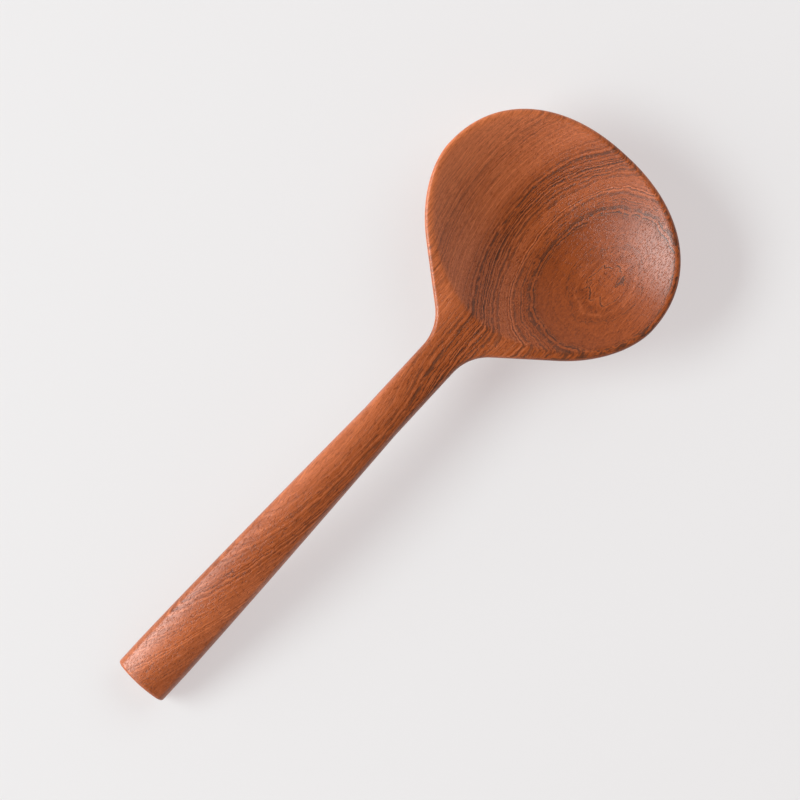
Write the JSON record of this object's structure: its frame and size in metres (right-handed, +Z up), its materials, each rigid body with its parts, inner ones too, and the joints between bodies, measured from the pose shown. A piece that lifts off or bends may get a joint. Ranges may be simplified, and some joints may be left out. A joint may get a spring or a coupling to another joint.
{
  "type": "ladle",
  "caption": "Hardwood serving ladle carved in one piece, with an arched handle, a flared neck and a wide, shallow bowl.",
  "frame": {"origin": "on the surface that the ladle lies on, halfway along its length and on its middle line", "axes": "+X from the end of the handle to the far rim of the bowl, +Z up out of the hollow, +Y to the left of +X"},
  "size_m": [0.25, 0.0958, 0.0252],
  "materials": {
    "oiled_hardwood": "sanded and oiled, satin, reddish brown with darker growth rings"
  },
  "bodies": {
    "root": {"ladle": "oiled_hardwood"}
  },
  "joints": []
}
